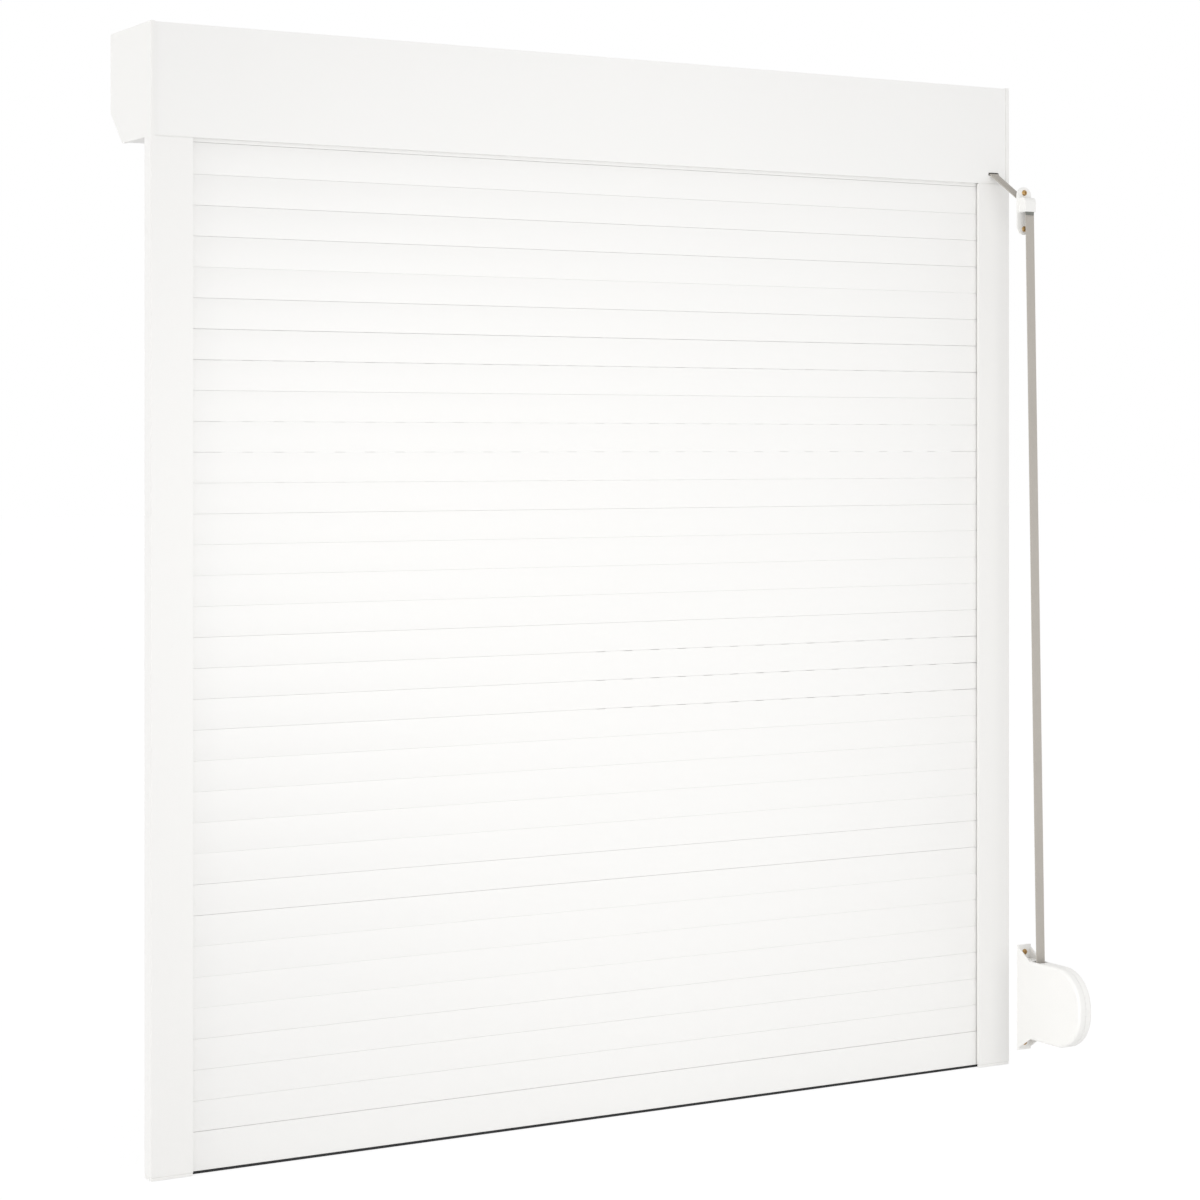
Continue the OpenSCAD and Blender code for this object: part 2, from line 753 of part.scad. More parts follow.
// Half of the case with the sockets for both pins
module winder_case_right() {
    inside = strap_x + winder_w / 2 - case_wall + eps;
    sockets = [[spool_p, spindle_r], [[brake_y, brake_z], brake_pin_r]];
    color(white) {
        case_half();
        for (s = sockets) difference() {
            rod_x(s[0], s[1] + spool_wall, spool_x + drum_w - spool_wall, inside);
            rod_x(s[0], s[1] + run_fit, spool_x, spool_x + drum_w + eps);
        }
    }
}

// Spool on the spindle, with a cup for the spring and one flange
module winder_spool() {
    sleeve_end = spool_x + drum_w - spool_wall - strap_gap;
    color(moulded) difference() {
        union() {
            rod_x(spool_p, spool_flange_r, spool_x - 1, spool_x);
            difference() {
                rod_x(spool_p, spool_core_r, spool_x - eps, spool_x + drum_w);
                rod_x(spool_p, spool_core_r - spool_wall, spool_x + 1, spool_x + drum_w + cut);
            }
            rod_x(spool_p, spindle_r + spool_wall, spool_x - eps, sleeve_end);
        }
        rod_x(spool_p, spindle_r + run_fit, spool_x - 2 * cut, spool_x + drum_w + cut);
    }
}

// Flat spiral spring inside the spool's cup
module winder_spring() {
    r0 = spindle_r + spool_wall + strap_gap;
    r1 = spool_core_r - spool_wall - strap_gap - spring_t;
    steps = 20 * spring_turns;
    function spiral(k, off) = (r0 + off + (r1 - r0) * k / steps)
        * [cos(360 * spring_turns * k / steps), sin(360 * spring_turns * k / steps)];
    color(steel) along_x(spool_x + 2, spool_x + drum_w - 4) translate(spool_p)
        polygon(concat([for (k = [0:steps]) spiral(k, 0)],
                       [for (k = [steps:-1:0]) spiral(k, spring_t)]));
}

// Strap wound in the winder while the curtain is down
module winder_strap_coil() {
    color(strap_grey) difference() {
        rod_x(spool_p, winder_coil_r, strap_x - strap_w / 2, strap_x + strap_w / 2);
        rod_x(spool_p, spool_core_r, strap_x - drum_w, strap_x + drum_w);
    }
}

// Toothed lever that clamps the strap under the winder's mouth
module strap_brake() {
    pad_z = brake_z + brake_arm;
    pad = [drop_start[0] + (pad_z - drop_start[1]) / tan(drop_dir)
           + strap_t / 2 + strap_gap, pad_z];
    hub_r = brake_pin_r + spool_wall;
    lever_t = 4;
    color("dimgray") difference() {
        union() {
            rod_x([brake_y, brake_z], hub_r, spool_x, spool_x + drum_w - spool_wall - strap_gap);
            along_x(spool_x + 1, spool_x + drum_w - spool_wall - strap_gap - 1) {
                translate([brake_y - lever_t / 2, brake_z])
                    square([lever_t, pad[1] - brake_z + lever_t]);
                for (k = [0:3]) translate([pad[0], pad[1] - 4 + 2 * k])
                    polygon([[0, 0], [2, 1], [brake_y - pad[0], 1], [brake_y - pad[0], -1], [2, -1]]);
            }
        }
        rod_x([brake_y, brake_z], brake_pin_r + run_fit, spool_x - cut, spool_x + drum_w);
    }
}

// Hook along the top of a slat or of the bottom bar, from the height z
module hook_profile(z) {
    translate([neck_u, z - slat_skin]) square([neck_t, hook_h + slat_skin]);
    translate([neck_u + neck_t - hook_arm - neck_t, z + hook_h - neck_t])
        square([hook_arm + neck_t, neck_t]);
}

module light_slots(z) {
    for (n = [0:lights - 1])
        translate([(n - (lights - 1) / 2) * light_pitch - light_l / 2, neck_u - cut, z])
            cube([light_l, neck_t + 2 * cut, light_h]);
}

// Crescent between the two faces of a slat, drawn in by a wall, between two heights
module slat_crescent(in, z0, z1) {
    mid = slat_body / 2;
    intersection() {
        difference() {
            translate([bow_r - slat_t / 2, mid]) circle(r = bow_r - in, $fn = 200);
            translate([bow_r + slat_t / 2 - slat_bow, mid]) circle(r = bow_r + in, $fn = 200);
        }
        translate([-slat_t, z0]) square([2 * slat_t, z1 - z0]);
    }
}

// Hollow section of a slat with its pocket, webs, lip and hook
module slat_section() {
    web_z = (pocket_h + slat_body) / 2;
    face_u = -slat_t / 2 + slat_bow;
    difference() {
        slat_crescent(0, 0, slat_body);
        slat_crescent(slat_skin, -cut, pocket_h);
        slat_crescent(slat_skin, pocket_h + slat_skin, web_z);
        slat_crescent(slat_skin, web_z + slat_skin, slat_body - slat_skin);
    }
    translate([face_u + slat_skin / 2, 0])
        square([neck_u - lip_clear - face_u - slat_skin / 2, hook_lip]);
    hook_profile(slat_body);
}

// Moulded lock in the end of a slat that keeps it in line
module end_lock() {
    lock_l = 14;
    web_z = (pocket_h + slat_body) / 2;
    lock_u = slat_t / 2 - slat_bow - slat_skin - rail_fit;
    translate([slat_x - lock_l, -lock_u, pocket_h + slat_skin + rail_fit])
        cube([lock_l + lock_t, 2 * lock_u, web_z - pocket_h - slat_skin - 2 * rail_fit]);
    translate([slat_x + rail_fit, -lock_u, pocket_h])
        cube([lock_t - rail_fit, 2 * lock_u, slat_body - pocket_h - slat_skin]);
}

module slat(i) {
    color(white) translate([0, 0, slat_z(i)]) {
        difference() {
            along_x(-slat_x, slat_x) slat_section();
            light_slots(slat_body);
        }
        if (i % 2 == 1) both_sides() end_lock();
    }
}

// Hollow bottom bar with its hook, seal groove and two end stops
module bottom_bar() {
    inner_h = (bar_h - 4 * bar_wall - seal_head) / 2;
    color(white) {
        difference() {
            along_x(-slat_x, slat_x) {
                difference() {
                    translate([-slat_t / 2, bar_seal_h]) square([slat_t, bar_h]);
                    for (n = [0, 1])
                        translate([-slat_t / 2 + bar_wall,
                                   curtain_z - (n + 1) * (inner_h + bar_wall)])
                            square([slat_t - 2 * bar_wall, inner_h]);
                    translate([-seal_head / 2, bar_seal_h + bar_wall])
                        square([seal_head, seal_head / 2]);
                    translate([-seal_stem / 2, bar_seal_h - cut])
                        square([seal_stem, bar_wall + 2 * cut]);
                }
                hook_profile(curtain_z);
            }
            light_slots(curtain_z);
        }
        for (side = [-1, 1])
            translate([side * stop_x - stop_w / 2, slat_t / 2, curtain_z - stop_drop - stop_h])
                cube([stop_w, stop_reach - slat_t / 2, stop_h]);
    }
}

// Rubber seal whose flat underside closes on the sill
module bottom_seal() {
    color("black") along_x(-slat_x, slat_x) {
        translate([-slat_t / 2 + 1, 0]) square([slat_t - 2, bar_seal_h]);
        translate([-seal_stem / 2 + rail_fit, bar_seal_h - eps])
            square([seal_stem - 2 * rail_fit, bar_wall + 2 * eps]);
        translate([-seal_head / 2 + rail_fit, bar_seal_h + bar_wall])
            square([seal_head - 2 * rail_fit, seal_head / 2 - rail_fit]);
    }
}

rear_casing();
front_casing();
left_end_plate();
right_end_plate();
left_guide_rail();
right_guide_rail();
rail_end_caps();
rail_seals();
shaft_bearings();
octagonal_shaft();
idler_plug();
strap_pulley();
curtain_hangers();
pulley_strap_coil();
strap_run();
guide_body();
guide_roller();
mounting_screws();
winder_bracket();
winder_case_left();
winder_case_right();
winder_spool();
winder_spring();
winder_strap_coil();
strap_brake();
bottom_bar();
bottom_seal();
for (i = [1:slat_count])
    slat(i);
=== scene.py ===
import math

import bmesh
import bpy
from mathutils import Matrix, Vector


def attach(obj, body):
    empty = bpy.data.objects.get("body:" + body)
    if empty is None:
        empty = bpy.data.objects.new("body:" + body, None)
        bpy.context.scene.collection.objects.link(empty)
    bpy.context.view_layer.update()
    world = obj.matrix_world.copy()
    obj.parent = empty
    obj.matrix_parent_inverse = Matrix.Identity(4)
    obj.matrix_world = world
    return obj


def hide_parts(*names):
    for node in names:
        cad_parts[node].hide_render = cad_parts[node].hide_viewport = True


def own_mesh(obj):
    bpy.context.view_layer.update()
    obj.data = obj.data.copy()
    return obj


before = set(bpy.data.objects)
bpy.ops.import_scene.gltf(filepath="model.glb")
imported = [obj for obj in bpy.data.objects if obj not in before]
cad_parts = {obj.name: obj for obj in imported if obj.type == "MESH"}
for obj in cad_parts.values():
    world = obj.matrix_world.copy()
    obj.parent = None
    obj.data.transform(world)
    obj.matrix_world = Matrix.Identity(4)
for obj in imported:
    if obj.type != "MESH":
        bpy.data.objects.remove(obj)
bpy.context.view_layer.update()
mm = 0.001
print("frame loaded:", len(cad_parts), "nodes")


# camera, as the photograph was taken: level, with the frame shifted down
cameraSet = {
    "place": (-1.853, -3.175, 0.8706),
    "turn": -30.0,  # degrees from straight on
    "lens": 84.78,
    "sensor": 36.0,
    "shiftY": -0.1278,
    "clipEnd": 100.0,
}
camData = bpy.data.cameras.new("camera")
camData.lens = cameraSet["lens"]
camData.sensor_width = cameraSet["sensor"]
camData.shift_y = cameraSet["shiftY"]
camData.clip_end = cameraSet["clipEnd"]
camera = bpy.data.objects.new("camera", camData)
camera.location = cameraSet["place"]
camera.rotation_euler = (math.pi / 2, 0, math.radians(cameraSet["turn"]))
bpy.context.scene.collection.objects.link(camera)
bpy.context.scene.camera = camera
bpy.context.scene.view_settings.view_transform = "Standard"
print("camera set")


# shader sums as Python expressions
class Shade:
    def __init__(self, tree, socket):
        self.tree = tree
        self.socket = socket

    def node(self, kind, settings=None, sockets=None, out=0):
        made = self.tree.nodes.new(kind)
        for key, value in (settings or {}).items():
            setattr(made, key, value)
        for key, value in (sockets or {}).items():
            if isinstance(value, Shade):
                self.tree.links.new(value.socket, made.inputs[key])
            else:
                made.inputs[key].default_value = value
        return Shade(self.tree, made.outputs[out])

    def math(self, operation, a, b=0.0):
        return self.node("ShaderNodeMath", {"operation": operation}, {0: a, 1: b})

    def __add__(self, other):
        return self.math("ADD", self, other)

    def __sub__(self, other):
        return self.math("SUBTRACT", self, other)

    def __mul__(self, other):
        return self.math("MULTIPLY", self, other)

    def __radd__(self, other):
        return self.math("ADD", other, self)

    def __rsub__(self, other):
        return self.math("SUBTRACT", other, self)

    def __rmul__(self, other):
        return self.math("MULTIPLY", other, self)

    # 6, 7 and 2 are the mix node's own sockets for colours
    def mix(self, low, high):
        settings = {"data_type": "RGBA"}
        return self.node("ShaderNodeMix", settings, {0: self, 6: low, 7: high}, out=2)


def newMaterial(name):
    material = bpy.data.materials.new(name)
    material.use_nodes = True
    material.node_tree.nodes.clear()
    return material, Shade(material.node_tree, None)


def closeMaterial(sheet, shader):
    made = sheet.tree.nodes.new("ShaderNodeOutputMaterial")
    sheet.tree.links.new(shader.socket, made.inputs["Surface"])


def rgba(colour):
    return (*colour, 1.0)


noise = "ShaderNodeTexNoise"
toneSet = {"drift": (0.7, 3.0), "grain": (0.3, 4.0)}  # share in the tone, and detail


# one hard finish: a slow drift of tone, a fine grain in roughness and bump
def hardFinish(look):
    material, sheet = newMaterial(look["name"])
    coords = sheet.node("ShaderNodeTexCoord", out="Object")
    stretch = sheet.node("ShaderNodeMapping", None, {"Vector": coords, "Scale": look["stretch"]})
    driftShare, detail = toneSet["drift"]
    drift = sheet.node(
        noise, None, {"Vector": coords, "Scale": look["driftScale"], "Detail": detail}
    )
    grainShare, detail = toneSet["grain"]
    grain = sheet.node(
        noise, None, {"Vector": stretch, "Scale": look["grainScale"], "Detail": detail}
    )
    tone = drift * driftShare + grain * grainShare
    colour = tone.mix(rgba(look["dark"]), rgba(look["light"]))
    rough = look["rough"] + (grain - 0.5) * look["roughSpread"]
    bump = sheet.node(
        "ShaderNodeBump",
        None,
        {"Strength": look["bump"], "Distance": look["bumpDepth"], "Height": grain},
    )
    shader = sheet.node(
        "ShaderNodeBsdfPrincipled",
        None,
        {
            "Base Color": colour,
            "Roughness": rough,
            "Metallic": look.get("metal", 0.0),
            "Specular IOR Level": look.get("specular", 0.5),
            "Normal": bump,
        },
    )
    closeMaterial(sheet, shader)
    return material


even = (1.0, 1.0, 1.0)
drawn = (0.03, 1.0, 1.0)  # long streaks along the width
upright = (1.0, 1.0, 0.03)

coatedSheet = hardFinish(
    {
        "name": "coatedSheet",
        "dark": (0.902, 0.896, 0.882),
        "light": (0.932, 0.926, 0.911),
        "rough": 0.46,
        "roughSpread": 0.12,
        "driftScale": 2.5,
        "grainScale": 700.0,
        "stretch": even,
        "bump": 0.06,
        "bumpDepth": 0.0002,
    }
)
coatedRail = hardFinish(
    {
        "name": "coatedRail",
        "dark": (0.89, 0.883, 0.866),
        "light": (0.92, 0.912, 0.895),
        "rough": 0.44,
        "roughSpread": 0.12,
        "driftScale": 3.0,
        "grainScale": 500.0,
        "stretch": upright,
        "bump": 0.05,
        "bumpDepth": 0.0002,
    }
)
slatFinish = hardFinish(
    {
        "name": "slatFinish",
        "dark": (0.9, 0.894, 0.88),
        "light": (0.93, 0.924, 0.909),
        "rough": 0.4,
        "roughSpread": 0.12,
        "driftScale": 2.0,
        "grainScale": 450.0,
        "stretch": drawn,
        "bump": 0.05,
        "bumpDepth": 0.0002,
    }
)
mouldedWhite = hardFinish(
    {
        "name": "mouldedWhite",
        "dark": (0.882, 0.876, 0.856),
        "light": (0.918, 0.912, 0.891),
        "rough": 0.42,
        "roughSpread": 0.14,
        "driftScale": 9.0,
        "grainScale": 1100.0,
        "stretch": even,
        "bump": 0.08,
        "bumpDepth": 0.0002,
    }
)
darkMoulding = hardFinish(
    {
        "name": "darkMoulding",
        "dark": (0.045, 0.046, 0.05),
        "light": (0.075, 0.076, 0.08),
        "rough": 0.5,
        "roughSpread": 0.2,
        "driftScale": 12.0,
        "grainScale": 900.0,
        "stretch": even,
        "bump": 0.12,
        "bumpDepth": 0.0003,
    }
)
lightMoulding = hardFinish(
    {
        "name": "lightMoulding",
        "dark": (0.6, 0.6, 0.58),
        "light": (0.68, 0.68, 0.66),
        "rough": 0.45,
        "roughSpread": 0.15,
        "driftScale": 14.0,
        "grainScale": 900.0,
        "stretch": even,
        "bump": 0.08,
        "bumpDepth": 0.0002,
    }
)
galvanised = hardFinish(
    {
        "name": "galvanised",
        "dark": (0.42, 0.43, 0.44),
        "light": (0.6, 0.61, 0.62),
        "rough": 0.36,
        "roughSpread": 0.25,
        "driftScale": 40.0,
        "grainScale": 300.0,
        "stretch": drawn,
        "bump": 0.1,
        "bumpDepth": 0.0002,
        "metal": 1.0,
    }
)
screwBrass = hardFinish(
    {
        "name": "screwBrass",
        "dark": (0.34, 0.2, 0.075),
        "light": (0.56, 0.37, 0.16),
        "rough": 0.3,
        "roughSpread": 0.25,
        "driftScale": 150.0,
        "grainScale": 1800.0,
        "stretch": even,
        "bump": 0.1,
        "bumpDepth": 0.0001,
        "metal": 1.0,
    }
)
sillRubber = hardFinish(
    {
        "name": "sillRubber",
        "dark": (0.012, 0.012, 0.013),
        "light": (0.03, 0.03, 0.031),
        "rough": 0.68,
        "roughSpread": 0.2,
        "driftScale": 6.0,
        "grainScale": 800.0,
        "stretch": drawn,
        "bump": 0.2,
        "bumpDepth": 0.0003,
        "specular": 0.3,
    }
)
railRubber = hardFinish(
    {
        "name": "railRubber",
        "dark": (0.78, 0.78, 0.765),
        "light": (0.87, 0.87, 0.855),
        "rough": 0.7,
        "roughSpread": 0.2,
        "driftScale": 8.0,
        "grainScale": 800.0,
        "stretch": upright,
        "bump": 0.2,
        "bumpDepth": 0.0003,
        "specular": 0.3,
    }
)
# painted shade: a dark fibre for the brush that stands in for the shade under the guide's hood
mouthShadeFibre = hardFinish(
    {
        "name": "mouthShadeFibre",
        "dark": (0.16, 0.165, 0.148),
        "light": (0.28, 0.285, 0.262),
        "rough": 0.8,
        "roughSpread": 0.2,
        "driftScale": 30.0,
        "grainScale": 1500.0,
        "stretch": upright,
        "bump": 0.2,
        "bumpDepth": 0.0002,
        "specular": 0.2,
    }
)

# woven strap: warp ribs across, weft picks along, on the strap's own map in millimetres
webbingLook = {
    "name": "strapWebbing",
    "dark": (0.36, 0.337, 0.305),
    "light": (0.61, 0.573, 0.522),
    "rib": 1.4,  # width of one rib
    "pick": 0.9,  # length of one pick
    "ribRise": 0.2,
    "pickRise": 0.3,
    "fibreRise": 0.3,
    "fibre": (1500.0, 3.0),  # scale and detail
    "wear": (18.0, 2.0),
    "shares": (0.55, 0.25, 0.2),  # weave, fibre and wear in the tone
    "rough": 0.82,
    "roughSpread": 0.15,
    "specular": 0.2,
    "bump": 0.5,
    "bumpDepth": 0.0004,
}


def webbingFinish(look):
    material, sheet = newMaterial(look["name"])
    strapMap = sheet.node("ShaderNodeUVMap", {"uv_map": "strapMap"})
    across = sheet.node("ShaderNodeSeparateXYZ", None, {"Vector": strapMap}, out="X")
    along = sheet.node("ShaderNodeSeparateXYZ", None, {"Vector": strapMap}, out="Y")
    rib = sheet.math("SINE", across * (2 * math.pi / look["rib"]))
    pick = sheet.math("SINE", along * (2 * math.pi / look["pick"]))
    weave = rib * pick * look["pickRise"] + rib * look["ribRise"] + 0.5
    coords = sheet.node("ShaderNodeTexCoord", out="Object")
    scale, detail = look["fibre"]
    fibre = sheet.node(noise, None, {"Vector": coords, "Scale": scale, "Detail": detail})
    scale, detail = look["wear"]
    wear = sheet.node(noise, None, {"Vector": coords, "Scale": scale, "Detail": detail})
    weaveShare, fibreShare, wearShare = look["shares"]
    tone = weave * weaveShare + fibre * fibreShare + wear * wearShare
    relief = weave + fibre * look["fibreRise"]
    bump = sheet.node(
        "ShaderNodeBump",
        None,
        {"Strength": look["bump"], "Distance": look["bumpDepth"], "Height": relief},
    )
    shader = sheet.node(
        "ShaderNodeBsdfPrincipled",
        None,
        {
            "Base Color": tone.mix(rgba(look["dark"]), rgba(look["light"])),
            "Roughness": look["rough"] + (fibre - 0.5) * look["roughSpread"],
            "Specular IOR Level": look["specular"],
            "Normal": bump,
        },
    )
    closeMaterial(sheet, shader)
    return material


strapWebbing = webbingFinish(webbingLook)

cadFinish = {
    "rear_casing": coatedSheet,
    "front_casing": coatedSheet,
    "left_end_plate": mouldedWhite,
    "right_end_plate": mouldedWhite,
    "left_guide_rail": coatedRail,
    "right_guide_rail": coatedRail,
    "rail_end_caps": mouldedWhite,
    "rail_seals": railRubber,
    "shaft_bearings": darkMoulding,
    "octagonal_shaft": galvanised,
    "idler_plug": darkMoulding,
    "strap_pulley": darkMoulding,
    "curtain_hangers": galvanised,
    "guide_body": mouldedWhite,
    "guide_roller": lightMoulding,
    "winder_bracket": mouldedWhite,
    "winder_case_left": mouldedWhite,
    "winder_case_right": mouldedWhite,
    "winder_spool": lightMoulding,
    "winder_spring": galvanised,
    "strap_brake": darkMoulding,
    "bottom_seal": sillRubber,
}
for node, finish in cadFinish.items():
    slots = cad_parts[node].data.materials
    slots.clear()
    slots.append(finish)
print("finishes set on", len(cadFinish), "nodes")

# solids whose sharp edges are rounded, with the radius in millimetres
edgeSet = {
    "radius": {
        "rail_end_caps": 1.2,
        "rear_casing": 0.4,
        "winder_case_left": 0.5,
        "winder_case_right": 0.5,
    },
    "sharp": 40.0,  # degrees
    "segments": 3,
    "merge": 0.01,
}
for node, radius in edgeSet["radius"].items():
    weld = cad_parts[node].modifiers.new("weld", "WELD")
    weld.merge_threshold = edgeSet["merge"] * mm
    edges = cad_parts[node].modifiers.new("edges", "BEVEL")
    edges.width = radius * mm
    edges.segments = edgeSet["segments"]
    edges.limit_method = "ANGLE"
    edges.angle_limit = math.radians(edgeSet["sharp"])
print("edges rounded on", len(edgeSet["radius"]), "nodes")


def addPiece(name, bm, finish, body, stands):
    mesh = bpy.data.meshes.new(name)
    bm.to_mesh(mesh)
    bm.free()
    mesh.materials.append(finish)
    piece = bpy.data.objects.new(name, mesh)
    bpy.context.scene.collection.objects.link(piece)
    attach(piece, body)
    if stands:
        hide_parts(*stands)
    return piece


def only(geom, kind):
    return [item for item in geom if isinstance(item, kind)]


def pushVerts(bm, geom, move):
    verts = only(geom, bmesh.types.BMVert)
    bmesh.ops.translate(bm, verts=verts, vec=move)
    return verts


# draws on from a vertex in straight steps and returns the last vertex
def drawLine(bm, vert, places):
    for place in places:
        grown = bmesh.ops.extrude_vert_indiv(bm, verts=[vert])
        vert = grown["verts"][0]
        vert.co = Vector((vert.co.x, place[0] * mm, place[1] * mm))
    return vert


# draws on from a vertex along an arc in the plane across the slat
def drawArc(bm, vert, centre, angle, steps):
    spun = bmesh.ops.spin(
        bm,
        geom=[vert],
        cent=(vert.co.x, centre[0] * mm, centre[1] * mm),
        axis=(1, 0, 0),
        angle=angle,
        steps=steps,
        use_merge=False,
        use_duplicate=False,
    )
    return only(spun["geom_last"], bmesh.types.BMVert)[0]


# pulls a row of edges on by one step: the new vertices, the new row and the faces between
def growRow(bm, row, move):
    grown = bmesh.ops.extrude_edge_only(bm, edges=row)["geom"]
    verts = pushVerts(bm, grown, move)
    moved = set(verts)
    edges = [edge for edge in only(grown, bmesh.types.BMEdge) if set(edge.verts) <= moved]
    return verts, edges, only(grown, bmesh.types.BMFace)


def addBlock(bm, place, size):
    spot = Matrix.LocRotScale(Vector(place) * mm, None, Vector(size) * mm)
    bmesh.ops.create_cube(bm, size=1.0, matrix=spot)


def addRod(bm, radius, length, spot, sides):
    rod = bmesh.ops.create_cone(
        bm,
        cap_ends=True,
        segments=sides,
        radius1=radius * mm,
        radius2=radius * mm,
        depth=length * mm,
        matrix=spot,
    )
    return rod["verts"]


def roundEdges(bm, edges, size):
    bmesh.ops.bevel(
        bm,
        geom=edges,
        offset=size * mm,
        segments=edgeSet["segments"],
        profile=0.5,
        affect="EDGES",
        material=-1,
        clamp_overlap=True,
    )


slatSet = {
    "count": 33,
    "first": 50.0,  # lower edge of the first slat
    "pitch": 37.0,
    "height": 36.4,  # up to where the hook begins
    "joint": 0.18,  # gap above a slat, unless one of the next three says otherwise
    "close": (0.11, (4, 5, 6, 9, 10, 11, 12, 17, 18, 19, 28)),  # gap, and the joints that have it
    "ajar": (0.25, (8, 22, 23, 27, 29, 30)),
    "loose": {0: 0.4, 7: 0.32, 13: 0.6, 14: 0.6, 15: 0.6, 25: 0.42, 26: 0.4, 32: -1.15},
    "half": 601.0,
    "thick": 8.0,
    "bow": 0.8,
    "bowSteps": 14,
    "skin": 0.9,
    "pocket": 9.0,
    "taper": 0.35,  # lean of the pocket's walls
    "lip": 1.0,  # thickness of the pocket's lip, and its distance from the neck
    "neck": (0.6, 1.0),  # place and thickness of the hook's neck
    "hook": 6.6,
    "arm": 2.6,
    "sunk": 0.1,  # how far neck and ribs reach below the edge they stand on
    "lightSlot": (28.0, 41.0, 3.0),  # length, distance, height
    "dashed": (13, 14, 15),  # joints whose bridges show as dashes on the right
    "dashFrom": -20.0,  # left of this such a joint is closed all along
    "rib": 1.2,  # depth of the rib that closes a dashed joint along its slots
    "topOpen": 1.5,  # the hangers draw the topmost joint open by this, beyond its gap above
    "gathered": 2.4,  # height that a slat keeps in the box
}


def jointGap(look, number):
    for gap, joints in (look["close"], look["ajar"]):
        if number in joints:
            return gap
    return look["loose"].get(number, look["joint"])


# bowed hollow section with the pocket and lip below, drawn round once and pulled long
def slatBody(bm, look, number):
    foot = look["loose"][0] if number == 1 else 0.0
    high, bow = look["pitch"] - jointGap(look, number), look["bow"]
    edge, middle = look["thick"] / 2, (foot + high) / 2
    radius = (((high - foot) / 2) ** 2 + bow**2) / (2 * bow)
    sweep = 2 * math.asin((high - foot) / 2 / radius)
    front, back = -edge + bow, edge
    start = bm.verts.new((-look["half"] * mm, front * mm, foot * mm))
    vert = drawArc(bm, start, (radius - edge, middle), -sweep, look["bowSteps"])
    vert = drawLine(bm, vert, [(back, high)])
    vert = drawArc(bm, vert, (radius + edge - bow, middle), sweep, look["bowSteps"])
    backIn, frontIn = back - look["skin"], front + look["skin"]
    lipEnd, lipTop = look["neck"][0] - look["lip"], foot + look["lip"]
    vert = drawLine(
        bm,
        vert,
        [
            (backIn, foot),
            (backIn - look["taper"], look["pocket"]),
            (frontIn - look["taper"], look["pocket"]),
            (frontIn, lipTop),
            (lipEnd, lipTop),
            (lipEnd, foot),
        ],
    )
    bmesh.ops.contextual_create(bm, geom=[vert, start])
    end = bmesh.ops.contextual_create(bm, geom=bm.edges[:])["faces"]
    pulled = bmesh.ops.extrude_face_region(bm, geom=end, use_keep_orig=True)
    pushVerts(bm, pulled["geom"], (2 * look["half"] * mm, 0, 0))


# widths along a slat: an end, then slots and bridges in turn, then the other end
def slotWidths(look):
    slotLong, step = look["lightSlot"][:2]
    slots = int((2 * look["half"] - 2 * step) // step)
    bridge = step - slotLong
    ends = look["half"] - (slots * step - bridge) / 2
    return [ends] + [slotLong, bridge] * (slots - 1) + [slotLong, ends]


# low ribs on the top edge, which leave a dashed joint open at the bridges only
def slotRibs(bm, look, number):
    gap, closed, sunk = look["loose"][number], look["joint"], look["sunk"]
    depth = look["bow"] - look["thick"] / 2 + look["rib"] / 2
    high = look["pitch"] - (gap + closed + sunk) / 2
    start, spans = -look["half"], []
    for column, width in enumerate(slotWidths(look)):
        if start + width < look["dashFrom"]:
            spans = [(-look["half"], start + width + look["half"])]
        elif column % 2 == 1:
            spans.append((start, width))
        start += width
    for start, width in spans:
        size = (width, look["rib"], gap - closed + sunk)
        addBlock(bm, (start + width / 2, depth, high), size)


# neck of the hook with its light slots: a strip of columns, the slot columns opened below
def slatNeck(bm, look):
    place, thick = look["neck"]
    slotTop = look["height"] + look["lightSlot"][2]
    low, high = look["height"] - look["sunk"], look["height"] + look["hook"]
    foot = bm.verts.new((-look["half"] * mm, place * mm, low * mm))
    drawLine(bm, foot, [(place, slotTop), (place, high)])
    row, opened, strip = bm.edges[:], [], []
    for column, width in enumerate(slotWidths(look)):
        row, faces = growRow(bm, row, (width * mm, 0, 0))[1:]
        strip += faces
        if column % 2 == 1:
            opened.append(min(faces, key=lambda face: face.calc_center_median().z))
    strip = [face for face in strip if face not in opened]
    bmesh.ops.delete(bm, geom=opened, context="FACES")
    bmesh.ops.recalc_face_normals(bm, faces=strip)
    bmesh.ops.solidify(bm, geom=strip, thickness=thick * mm)


def hookMesh(look):
    bm = bmesh.new()
    slatNeck(bm, look)
    place, thick = look["neck"]
    top = look["height"] + look["hook"]
    arm = (2 * look["half"], look["arm"], thick)
    addBlock(bm, (0.0, place - look["arm"] / 2, top - thick / 2), arm)
    return bm


def makeSlats(look):
    for number in range(1, look["count"] + 1):
        bm = bmesh.new()
        slatBody(bm, look, number)
        if number in look["dashed"]:
            slotRibs(bm, look, number)
        hook = hookMesh(look)
        carrier = bpy.data.meshes.new("hook")
        hook.to_mesh(carrier)
        hook.free()
        bm.from_mesh(carrier)
        bpy.data.meshes.remove(carrier)
        bmesh.ops.recalc_face_normals(bm, faces=bm.faces[:])
        low = (look["first"] + (number - 1) * look["pitch"]) * mm
        if number == look["count"]:
            low += look["topOpen"] * mm
        bmesh.ops.translate(bm, verts=bm.verts[:], vec=(0, 0, low))
        node = f"slat_{number:02d}"
        piece = addPiece(f"{node}_skin", bm, slatFinish, f"{node}_body", [node])
        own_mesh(piece)


makeSlats(slatSet)
print("slats made:", slatSet["count"])


